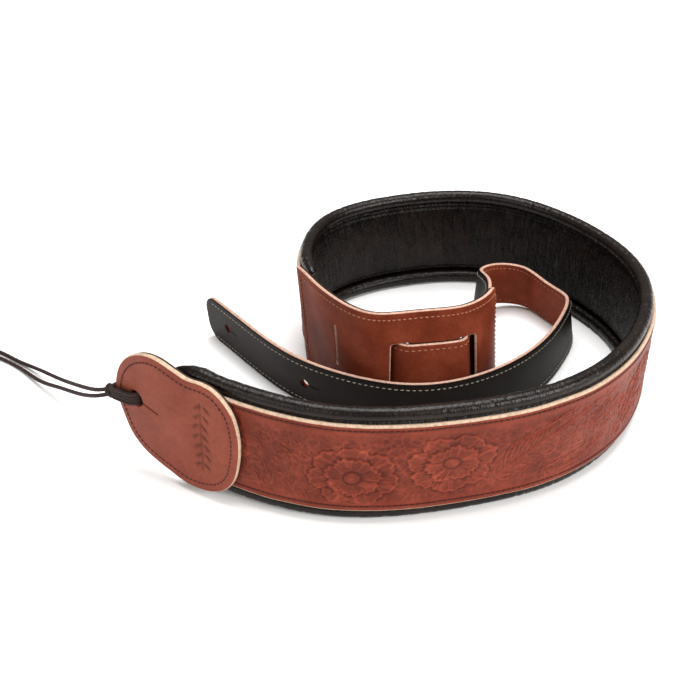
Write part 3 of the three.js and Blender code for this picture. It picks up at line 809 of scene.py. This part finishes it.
def bloom(field, ss, ww, cx, cy, long_, high, turn, seed, petals=7):
    """An open flower: two rings of ruffled petals with fine ribs, round a seeded middle."""
    x, y = (ss - cx) / long_, (ww - cy) / high
    x, y = x + 0.05 * ripple2(ss, ww, seed, 7, 7), y + 0.05 * ripple2(ss, ww, seed + 1, 7, 7)
    r, th = np.hypot(x, y), np.arctan2(y, x)
    reach = 6.5 + 2.0 * r
    ribs = ridged(reach * np.cos(th), reach * np.sin(th), seed + 2, 0.9, 0.9)
    value = 0.42 * ribs * np.clip((r - 0.16) * 8, 0, 1)
    for ring, (size, shift) in enumerate(((0.92, 0.0), (0.56, 0.5))):
        phase = (th + turn) * petals / 2 + shift * math.pi
        lobe = np.abs(np.cos(phase))
        frill = 0.025 * np.cos(7 * phase)
        edge = size * (0.80 + 0.2 * lobe**0.6) + frill
        rim = 0.42 * np.exp(-(((r - edge) / 0.032) ** 2))
        value += rim - 0.3 * np.exp(-(((r - edge - 0.07) / 0.04) ** 2))
        split = np.exp(-((np.cos(phase) * r / 0.06) ** 2)) * (r < edge) * np.clip((r - 0.2) * 6, 0, 1)
        value -= 0.26 * split * (1 if ring else np.clip((r - 0.5) * 5, 0, 1))
    seeds = np.clip(1 - r / 0.17, 0, 1) ** 0.4
    value += seeds * (0.28 + 0.22 * ripple2(ss, ww, seed + 3, 0.9, 0.9))
    value -= 0.35 * np.exp(-(((r - 0.19) / 0.03) ** 2))
    weight = np.clip((1.04 - r) / 0.1, 0, 1)
    weight = weight * weight * (3 - 2 * weight)
    field += (value - 0.14 - 0.75 * field) * weight


def leaf(field, sa, wa, root, tip, sag, wide, lobes):
    """A long lobed leaf: a double midrib, side veins and a scalloped outline."""
    rib = bend_line(root, tip, sag, 13)
    t = np.gradient(rib, axis=0)
    t /= np.linalg.norm(t, axis=1)[:, None]
    nrm = np.stack([-t[:, 1], t[:, 0]], 1)
    stamp(field, sa, wa, rib + nrm * 0.6, 0.45, 0.42)
    stamp(field, sa, wa, rib - nrm * 0.6, 0.38, 0.42)
    steps = range(13)
    for sgn in (-1, 1):
        last = rib[0]
        for k in range(lobes):
            i0 = (k + 0.2) / (lobes + 0.5) * 12
            i1 = min((k + 1.0) / (lobes + 0.5) * 12, 12)
            start = np.array([np.interp(i0, steps, rib[:, q]) for q in (0, 1)])
            foot = np.array([np.interp(i1, steps, rib[:, q]) for q in (0, 1)])
            side = np.array([np.interp(i1, steps, nrm[:, q]) for q in (0, 1)])
            reach = wide * math.sin(math.pi * (0.2 + 0.7 * (k + 0.5) / lobes))
            out = foot + side * sgn * reach
            stamp(field, sa, wa, bend_line(start, out, -0.14 * sgn), -0.3, 0.38)
            stamp(field, sa, wa, bend_line(last, out, 0.24 * sgn), 0.38, 0.42)
            last = out * 0.7 + foot * 0.3
        stamp(field, sa, wa, bend_line(last, rib[-1], 0.2 * sgn), 0.45, 0.48)


def frond(field, sa, wa, s, rng):
    """A tall leaf rising to the right, with smaller leaves and blades round it."""
    leaf(field, sa, wa, (s, 24), (s + 78, 59), 0.07, 10.5, 9)
    leaf(field, sa, wa, (s + 28, 19), (s + 74, 29), -0.12, 6.5, 6)
    leaf(field, sa, wa, (s + 60, 38), (s + 100, 34), 0.16, 7.5, 6)
    leaf(field, sa, wa, (s + 86, 20), (s + 112, 54), -0.12, 6.0, 5)
    for k in range(9):
        root = (s + 4 + 3.2 * k, 33 + 1.9 * k)
        tip = (s + 12 + 4.4 * k, 49 + 1.3 * k)
        stamp(field, sa, wa, bend_line(root, tip, 0.14), 0.42, 0.4)
    for k in range(12):
        root = (s + rng.uniform(64, 118), rng.uniform(15, 48))
        angle = rng.uniform(0.3, 1.4)
        size = rng.uniform(4, 9)
        tip = (root[0] + size * math.cos(angle), root[1] + size * math.sin(angle))
        stamp(field, sa, wa, bend_line(root, tip, rng.uniform(-0.25, 0.25)), 0.42, 0.42)


def ridged(s, w, seed, along, up):
    """Thin branching ridges, 1 on a ridge and 0 away from it."""
    return np.clip(1 - np.abs(ripple2(s, w, seed, along, up)) * 2.4, 0, 1) ** 2


def tooled_field(sa, wa):
    """The height of the tooling: a crinkled ground with flowers, leaves and fine blades on it."""
    rng = np.random.default_rng(21)
    ss, ww = np.meshgrid(sa, wa, indexing="ij")
    lane = 1 / (1 + np.exp(-(ww - 14.8) / 0.8)) / (1 + np.exp((ww - 60.0) / 1.1))
    warp = 2.5 * ripple2(ss, ww, 3, 11, 11)
    ground = 0.30 * ridged(ss + warp, ww - warp, 5, 3.4, 3.0)
    ground += 0.22 * ridged(ss - warp, ww + warp, 6, 6.5, 4.2)
    ground += 0.13 * ripple2(ss, ww, 8, 1.3, 1.5) - 0.2
    patchy = 0.75 + 0.45 * ripple2(ss, ww, 11, 30, 22)
    field = ground * np.clip(patchy, 0.35, 1.2)
    for k, (s, w) in enumerate(BLOOMS):
        bloom(field, ss, ww, s, w, 26, 21, 0.3 + 0.4 * k, 100 + 10 * k)
    for s in FRONDS:
        frond(field, sa, wa, s, rng)
    for k in range(46):
        root = (rng.uniform(84, 128), rng.uniform(17, 56))
        angle = rng.uniform(-1.3, -0.5)
        size = rng.uniform(3, 8)
        tip = (root[0] + size * math.cos(angle), root[1] + size * math.sin(angle))
        stamp(field, sa, wa, bend_line(root, tip, 0.15), -0.36, 0.42)
    field = field * lane - 0.1 * lane
    for w in STITCH_ROWS:
        field -= 0.32 * np.exp(-(((ww - w) / 0.7) ** 2))
    return field + 0.05 * ripple2(ss, ww, 9, 14, 9)


# the rounded raw edge: how far in from the edge, how far back, and how pale
EDGE = [(1.15, 0.03, 0.35), (0.95, 0.1, 1), (0.5, 0.32, 1), (0.12, 0.8, 1), (0, 1.3, 1), (0.12, 2.2, 1)]


def tooled_band():
    """The band's outer leather: the tooling on its face, a rounded raw edge and a flat back."""
    sa = np.arange(46, BAND_END + 0.01, TOOL_STEP)
    count = int((BAND_TOP - BAND_LOW - 2.6) / TOOL_STEP)
    wa = np.linspace(BAND_LOW + 1.3, BAND_TOP - 1.3, count)
    field = tooled_field(sa, wa)
    m = len(sa)
    bulge = 1.1 * np.exp(-(((sa - 268) / 12) ** 2))
    bulge += 0.25 * ripple(sa, 31, 24) + 0.16 * ripple(sa, 32, 4)
    inner = np.linspace(BAND_TOP - 0.5, BAND_LOW + 0.5, 9)
    rows = [(w, None, 0.0) for w in wa]
    rows += [(BAND_TOP - d, n, v) for d, n, v in EDGE]
    # the flat back gets the brown face colour instead of its pale flesh colour: painted shade, for where it
    # shows between the padding and the rolls
    rows += [(w, BAND_BACK, 0.0) for w in inner]
    rows += [(BAND_LOW + d, n, v) for d, n, v in reversed(EDGE)]
    k = len(rows)
    rings = np.zeros((m, k, 3))
    cream = np.zeros((m, k))
    relief = np.zeros((m, k))
    rings[:, :, 0] = sa[:, None]
    rings[:, :, 1] = [w for w, n, v in rows]
    cream[:, :] = [v for w, n, v in rows]
    rings[:, :count, 2] = -field
    # the tooling height also colours the face through the relief: painted shade in its hollows and grooves,
    # painted highlight on its ridges
    relief[:, :count] = field
    # the flat back is darkened further through the relief: painted shade where it shows between the padding
    # and the rolls
    relief[:, count + len(EDGE) : -len(EDGE)] = -0.5
    rings[:, count:, 2] = [n for w, n, v in rows[count:]]
    # the cut edges waver a little
    share = np.clip((rings[:, :, 1] - 60) / 7.5, 0, 1)
    rings[:, :, 1] += share * bulge[:, None] * 0.5
    share = np.clip((16 - rings[:, :, 1]) / 7.5, 0, 1)
    rings[:, :, 1] -= share * 0.3 * ripple(sa, 33, 17)[:, None]
    made = lofted("band_leather", spine, rings, TOOLED, cream, relief)
    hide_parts("shoulder_panel")
    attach(made, "band")


tooled_band()


# ---- rolled edges and the padded lining -------------------------------------------------------
def roll(name, w0, seed):
    """A rolled edge of thin black leather round its cord, creased all along."""
    rng = np.random.default_rng(seed)
    s = np.arange(BAND_START, BAND_END + 0.01, 0.7)
    sides = 26
    a = np.linspace(0, 2 * math.pi, sides, endpoint=False)
    up = 1 if w0 > 30 else -1
    radius = np.full((len(s), sides), ROLL)
    radius += 0.12 * ripple(s, seed + 1, 22)[:, None]
    # short creases across the roll, each over part of its round
    for k in range(620):
        at_s = rng.uniform(BAND_START + 4, BAND_END - 4)
        at_a = rng.uniform(0, 2 * math.pi)
        wide = rng.uniform(0.45, 1.0)
        slant = rng.uniform(-0.7, 0.7)
        reach = rng.uniform(0.5, 1.6)
        depth = rng.uniform(0.05, 0.26)
        da = (a[None, :] - at_a + math.pi) % (2 * math.pi) - math.pi
        ds = s[:, None] - at_s - slant * da
        near = np.abs(s - at_s) < 6
        dip = depth * np.exp(-((ds[near] / wide) ** 2)) * np.exp(-((da / reach) ** 4))
        radius[near] -= dip
    # pinched at both ends, with a hump just after the start
    ends = np.interp(s, [BAND_START, 47, 53, 60, 70, 80], [0.45, 0.72, 1.02, 1.12, 1.0, 1.0])
    ends *= np.interp(s, [780, 792, 799, BAND_END], [1, 0.9, 0.66, 0.4])
    fold = np.interp(s, [BAND_START, 56, 84], [1.0, 0.8, 0.0])[:, None]
    radius = radius * ends[:, None] - fold * 0.45 * np.clip(np.cos(5 * a + 0.8), 0, 1)[None, :] ** 3
    rings = np.zeros((len(s), sides, 3))
    rings[:, :, 0] = s[:, None]
    low = (1 - ends)[:, None] * ROLL * 0.8
    rings[:, :, 1] = w0 + radius * np.sin(a) - up * low * 0.4
    rings[:, :, 2] = ROLL_ACROSS + radius * np.cos(a) - low * 0.9
    made = lofted(name, spine, rings, BLACK)
    key = "upper" if up > 0 else "lower"
    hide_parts(key + "_roll", key + "_roll_core")
    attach(made, "band")


roll("roll_upper", 75 - ROLL, 41)
roll("roll_lower", ROLL, 51)


def padding():
    """The foam under its black lining: crowned, wrinkled across, and tucked in behind both rolls."""
    s = np.arange(BAND_START + 1, BAND_END - 1, 0.8)
    w_in = np.linspace(69.2, 5.8, 80)
    w_out = np.linspace(5.8, 69.2, 7)
    k = len(w_in) + len(w_out)
    rings = np.zeros((len(s), k, 3))
    relief = np.zeros((len(s), k))
    rings[:, :, 0] = s[:, None]
    ss, ww = np.meshgrid(s, w_in, indexing="ij")
    edge = np.clip(np.minimum(66.8 - ww, ww - 8.3), 0, None)
    rise = 1 - np.exp(-((edge / 2.4) ** 1.5))
    crown = np.sin(np.clip((ww - 8.3) / 58.5, 0, 1) * math.pi) ** 0.5
    seam = np.exp(-(((edge - 4.6) / 0.7) ** 2))
    pucker = np.exp(-(((edge - 5.6) / 3.2) ** 2))
    deep = np.clip(ripple(ss + 0.1 * ww, 64, 26) - 0.1, 0, 1)
    lean = ss + 0.22 * (ww - 37) * ripple(ss, 61, 60)
    fold = ripple2(lean, ww, 62, 5.5, 34) + 0.7 * ripple2(lean, ww, 65, 2.6, 16)
    small = ripple2(ss + 0.3 * ww * ripple(ss, 66, 9), ww, 63, 1.9, 5.0)
    shape = 3.4 + 3.4 * rise + 1.4 * crown - 0.7 * seam - 0.5 * deep * crown
    shape += 0.24 * fold * rise * (0.5 + 0.5 * crown) + 0.42 * pucker * small + 0.08 * small * rise
    ends = np.interp(s, [BAND_START, 60, 780, BAND_END], [0.55, 1, 1, 0.5])[:, None]
    rings[:, : len(w_in), 1] = w_in
    rings[:, : len(w_in), 2] = PAD_OUTER + (shape - PAD_OUTER) * ends
    # the relief paints shade in the seam grooves and painted highlights on the puckers and fold crests
    relief[:, : len(w_in)] = 0.3 * fold + 0.35 * pucker * small - 0.5 * seam
    rings[:, len(w_in) :, 1] = w_out
    rings[:, len(w_in) :, 2] = PAD_BACK
    made = lofted("band_padding", spine, rings, LINING, None, relief)
    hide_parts("pad_core", "inner_lining")
    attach(made, "band")


padding()

for key, w in (("lower", STITCH_ROWS[0]), ("upper", STITCH_ROWS[1])):
    where = np.arange(50, BAND_END - 2, 2.0)
    line = np.stack([where, np.full(len(where), w)], 1)
    line[:, 1] += 0.25 * ripple(line[:, 0], 71, 30)
    made = stitches(f"stitches_{key}", spine, line, 0.12, -1, RED_THREAD, pitch=3.1, length=2.5, width=0.8)
    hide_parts(key + "_stitching")
    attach(made, "band")


# ---- the end tab --------------------------------------------------------------------------------
def tab_outline():
    """The tab's outline: out along its lower side and back along its upper one."""
    corners = TAB_LOW + TAB_TOP[-2:0:-1]
    closed = [corners[-1]] + corners + corners[:2]
    line, _ = smooth_points([[s, w, 0] for s, w in closed], 800)
    away = np.hypot(line[:, 0] - corners[0][0], line[:, 1] - corners[0][1])
    first = np.argmin(away[:400])
    last = 400 + np.argmin(away[400:])
    return line[first:last, :2]


def circle(cx, cy, r, count=28):
    """A circle as a loop of points."""
    t = np.linspace(0, 2 * math.pi, count, endpoint=False)
    return np.stack([cx + r * np.cos(t), cy + r * np.sin(t)], 1)


def keyhole(cx, cy, r, dx, dy, wide=0.35):
    """A round hole with a thin slit from it to (dx, dy)."""
    a = math.atan2(dy, dx)
    size = math.hypot(dx, dy)
    open_ = math.asin(min(0.9, wide / r))
    t = np.linspace(open_, 2 * math.pi - open_, 26)
    pts = [[cx + r * math.cos(a + q), cy + r * math.sin(a + q)] for q in t]
    d = np.array([math.cos(a), math.sin(a)])
    n = np.array([-d[1], d[0]])
    end = np.array([cx, cy]) + d * size
    back = np.array([cx, cy]) + d * r
    for f in np.linspace(0.15, 1, 14):
        p = back + (end - back) * f
        pts.append((p - n * wide * (1 - 0.6 * f)).tolist())
    for f in np.linspace(1, 0.15, 14):
        p = back + (end - back) * f
        pts.append((p + n * wide * (1 - 0.6 * f)).tolist())
    return np.array(pts)


def smooth_loop(loop, times):
    """A closed loop with its corners eased."""
    for _ in range(times):
        loop = (np.roll(loop, 1, 0) + 2 * loop + np.roll(loop, -1, 0)) / 4
    return loop


TAB_OUTLINE = smooth_loop(resample(tab_outline(), 1.0), 3)
TAB_HOLE = keyhole(*TAB_HOLE_AT, TAB_HOLE_R, 17, -3.4)


def tab_bend(s, w):
    """The soft waviness that the tab and its lining share."""
    return 0.35 * ripple2(s, w, 81, 34, 30)


def tab_relief(s, w, n):
    """A stamped column of plain leaf shapes, the pressed stitch channel, and a soft bend; the pressed places
    also darken through the relief, as painted shade.
    """
    outer = n < np.mean(TAB_LEATHER)
    press = np.zeros(len(s))
    for k in range(7):
        cw = 20 + k * 6.4
        cs = 66 + 0.9 * math.sin(k * 1.3)
        for sgn in (-1, 1):
            ds, dw = s - cs - sgn * 3.0, w - cw
            x = ds * 0.7 + sgn * dw * 0.7
            y = -sgn * ds * 0.7 + dw * 0.7
            press -= 0.5 * np.exp(-(np.abs(x) / 0.9) ** 3 - (np.abs(y) / 2.7) ** 4)
    press -= 0.35 * np.exp(-(((s - 66) / 0.55) ** 2)) * (np.abs(w - 39) < 23)
    # the pressed places go into the relief, which darkens them as painted shade
    relief = np.where(outer, press, 0)
    return tab_bend(s, w) - relief, relief


made = plate("tab_leather_piece", spine, TAB_OUTLINE, [TAB_HOLE], *TAB_LEATHER, TAB, step=1.1, edge=0.8,
             shape=tab_relief, loop_step=1.0)
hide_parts("tab_head", "tab_neck")
TAB_PARTS = [made]
made = plate("tab_lining_piece", spine, offset_loop(TAB_OUTLINE, 0.35),
             [circle(*TAB_HOLE_AT, TAB_HOLE_R + 0.2)], *TAB_LINING, SUEDE, step=2.0, edge=0.3,
             shape=lambda s, w, n: (tab_bend(s, w), np.zeros(len(s))))
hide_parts("tab_head_lining", "tab_neck_lining")
TAB_PARTS.append(made)
made = stitches("tab_stitches", spine, offset_loop(TAB_OUTLINE, 5.0), TAB_LEATHER[0] + 0.05, -1, RED_THREAD,
                pitch=2.9, length=2.3, width=0.75, closed=True)
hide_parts("tab_head_stitching", "tab_neck_stitching")
TAB_PARTS.append(made)
for made in TAB_PARTS:
    tuple(spine.at(TAB_FLEX + 7, 39, -2) * MM)
    tuple(spine.at(TAB_FLEX - 7, 39, -2) * MM)
    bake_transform(made)


# ---- the adjuster panel --------------------------------------------------------------------------
def rounded_box(x0, y0, x1, y1, r, corners=(1, 1, 1, 1)):
    """A rectangle whose corners, from the lower left counter-clockwise, may be rounded."""
    pts = []
    for (cx, cy, a), on in zip(
        ((x0, y0, math.pi), (x1, y0, 1.5 * math.pi), (x1, y1, 0), (x0, y1, 0.5 * math.pi)), corners):
        if not on:
            pts.append([cx, cy])
            continue
        ox = cx + (r if cx == x0 else -r)
        oy = cy + (r if cy == y0 else -r)
        for t in np.linspace(0, math.pi / 2, 9):
            pts.append([ox + r * math.cos(a + t), oy + r * math.sin(a + t)])
    return np.array(pts)


def panel_bow(s, w, n):
    """The lips of the slots are pushed aside by the strap that runs through them."""
    up = np.clip((w - SLOT_LOW + 4) / 4, 0, 1) * np.clip((SLOT_HIGH + 4 - w) / 4, 0, 1)
    shift = 0.5 * ripple2(s, w, 91, 40, 34)
    for lip in (SLOT_A[0], SLOT_B[1]):
        shift -= 0.9 * up * np.exp(-(((s - lip) / 5) ** 2))
    return shift * np.clip((s - 20) / 10, 0, 1), np.zeros(len(s))


PANEL_CORNER, PANEL_SEAM = 18, 4.6
PANEL_OUTLINE = rounded_box(PANEL_START, 0, PANEL_END, PANEL_HEIGHT, PANEL_CORNER, (0, 1, 1, 0))
slit = np.vstack([circle(55.6, 29.5, 2.0, 20)[6:-4], [[55.5, 31.5], [55.4, 57]], [[54.6, 57], [54.8, 31.5]]])
PANEL_HOLES = [
    rounded_box(SLOT_A[0], SLOT_LOW, SLOT_A[1], SLOT_HIGH, 1.5),
    rounded_box(SLOT_B[0], SLOT_LOW, SLOT_B[1], SLOT_HIGH, 1.5),
    slit,
]
made = plate("adjuster_leather", panel, PANEL_OUTLINE, PANEL_HOLES, *PANEL_LEATHER, PLAIN, step=2.2, edge=0.9,
             shape=panel_bow, hole_cream=1.0)
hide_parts("adjuster_panel", "adjuster_anchor")
PARTS = [made]
made = plate("adjuster_back", panel, offset_loop(resample(PANEL_OUTLINE, 1.5), 0.3),
             [offset_loop(resample(h, 1), -0.2) for h in PANEL_HOLES[:2]],
             *PANEL_LINING, SUEDE, step=2.6, edge=0.3, shape=panel_bow)
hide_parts("adjuster_panel_lining", "adjuster_anchor_lining")
PARTS.append(made)
row = rounded_box(PANEL_START + PANEL_SEAM, PANEL_SEAM, PANEL_END - PANEL_SEAM, PANEL_HEIGHT - PANEL_SEAM,
                  PANEL_CORNER - PANEL_SEAM, (0, 1, 1, 0))
made = stitches("adjuster_stitches", panel, row, 0.05, -1, PINK_THREAD, pitch=3.4, length=2.4, width=0.9,
                height=0.4, closed=True, shape=panel_bow)
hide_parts("adjuster_panel_stitching", "adjuster_anchor_stitching")
PARTS.append(made)
for made in PARTS:
    tuple(panel.at(PANEL_FLEX - 6, 38, 1.7) * MM)
    tuple(panel.at(PANEL_FLEX + 7, 38, 1.7) * MM)
    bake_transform(made)


# ---- the tail strap --------------------------------------------------------------------------------
def tail_wave(s, w, n):
    """The tail's soft waviness, which dies out before the slots."""
    return 0.35 * ripple2(s, w, 95, 46, 40) * np.clip((500 - s) / 60, 0, 1), np.zeros(len(s))


TAIL_HOLES = [keyhole(33, 19, 2.9, 12, 0, 0.25), keyhole(114, 17, 3.0, 12, 0, 0.25)]


def cut_in_two(obj, name, s_cut):
    """Splits a mesh at a distance along its strip, edge to edge; returns both parts."""
    other = obj.copy()
    other.data = obj.data.copy()
    other.name = name
    bpy.context.scene.collection.objects.link(other)
    for part, keep_low in ((obj, True), (other, False)):
        bm = bmesh.new()
        bm.from_mesh(part.data)
        layer = bm.verts.layers.float_vector["place"]
        gone = []
        for face in bm.faces:
            mean = sum(v[layer][0] for v in face.verts) / len(face.verts)
            if (mean < s_cut) != keep_low:
                gone.append(face)
        bmesh.ops.delete(bm, geom=gone, context="FACES")
        bm.to_mesh(part.data)
        bm.free()
    return obj, other


outline = rounded_box(TAIL_TIP, 0, TAIL_END, TAIL_WIDTH, 12, (1, 0, 0, 1))
free, threaded_part = [], []
made = plate("tail_leather", tail, outline, TAIL_HOLES, *TAIL_LEATHER, PLAIN, step=2.2, edge=0.7,
             shape=tail_wave)
parts = cut_in_two(made, "tail_leather_threaded", TAIL_SPLIT)
for part, node_name, group in zip(parts, ("tail_free", "tail_threaded"), (free, threaded_part)):
    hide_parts(node_name)
    group.append(part)
made = plate("tail_black", tail, outline, TAIL_HOLES, *TAIL_LINING, SUEDE, step=2.4, edge=0.3, cream=0.0,
             shape=tail_wave)
parts = cut_in_two(made, "tail_black_threaded", TAIL_SPLIT)
for part, node_name, group in zip(parts, ("tail_free", "tail_threaded"), (free, threaded_part)):
    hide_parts(node_name + "_lining")
    group.append(part)
TAIL_LENGTHS = (
    ("free", TAIL_TIP + 9, TAIL_SPLIT, free),
    ("threaded", TAIL_SPLIT, TAIL_END - 1.5, threaded_part),
)
TAIL_SEAM = 3.6
for side, n, sign, mat in (("brown", 3.42, 1, PINK_THREAD), ("black", -0.02, -1, GREY_THREAD)):
    for edge_key, w in (("low", TAIL_SEAM), ("high", TAIL_WIDTH - TAIL_SEAM)):
        for key, s0, s1, group in TAIL_LENGTHS:
            where = np.arange(s0, s1, 2.0)
            line = np.stack([where, np.full(len(where), w)], 1)
            made = stitches(f"tail_{key}_{side}_{edge_key}", tail, line, n, sign, mat, pitch=3.7, length=2.3,
                            width=0.7, shape=tail_wave)
            if side == "brown" and edge_key == "low":
                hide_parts(f"tail_{key}_stitching")
            group.append(made)
for made in free:
    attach(made, "tail")
for made in threaded_part:
    tuple(tail.at(TAIL_FLEX + 8, 17, 1.7) * MM)
    tuple(tail.at(TAIL_FLEX - 8, 17, 1.7) * MM)
    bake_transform(made)


# ---- studio -----------------------------------------------------------------------------------------
def studio():
    """A pale floor, an even pale sky and three soft lamps."""
    bpy.context.scene.view_settings.view_transform = "Standard"
    mat, tree, shader = material("floor")
    shader.inputs["Base Color"].default_value = (0.96, 0.955, 0.95, 1)
    shader.inputs["Roughness"].default_value = 0.9
    shader.inputs["Specular IOR Level"].default_value = 0.1
    mesh = bpy.data.meshes.new("floor")
    r = 6.0
    mesh.from_pydata([(-r, -r, 0), (r, -r, 0), (r, r, 0), (-r, r, 0)], [], [(0, 1, 2, 3)])
    mesh.materials.append(mat)
    floor = bpy.data.objects.new("floor", mesh)
    bpy.context.scene.collection.objects.link(floor)
    world = bpy.data.worlds.new("studio")
    world.use_nodes = True
    world.node_tree.nodes["Background"].inputs["Color"].default_value = (1.0, 0.955, 0.92, 1)
    world.node_tree.nodes["Background"].inputs["Strength"].default_value = 0.36
    bpy.context.scene.world = world
    for name, place, size, power in (
        ("above", (0.05, 0.2, 1.5), 1.0, 33),
        ("right", (1.2, -0.9, 0.8), 0.7, 24),
        ("left", (-1.1, -1.1, 0.8), 0.8, 8),
    ):
        data = bpy.data.lights.new(name, "AREA")
        data.size = size
        data.energy = power
        lamp = bpy.data.objects.new(name, data)
        lamp.location = place
        lamp.rotation_euler = (Vector((0, 0, 0.03)) - Vector(place)).to_track_quat("-Z", "Y").to_euler()
        bpy.context.scene.collection.objects.link(lamp)


studio()
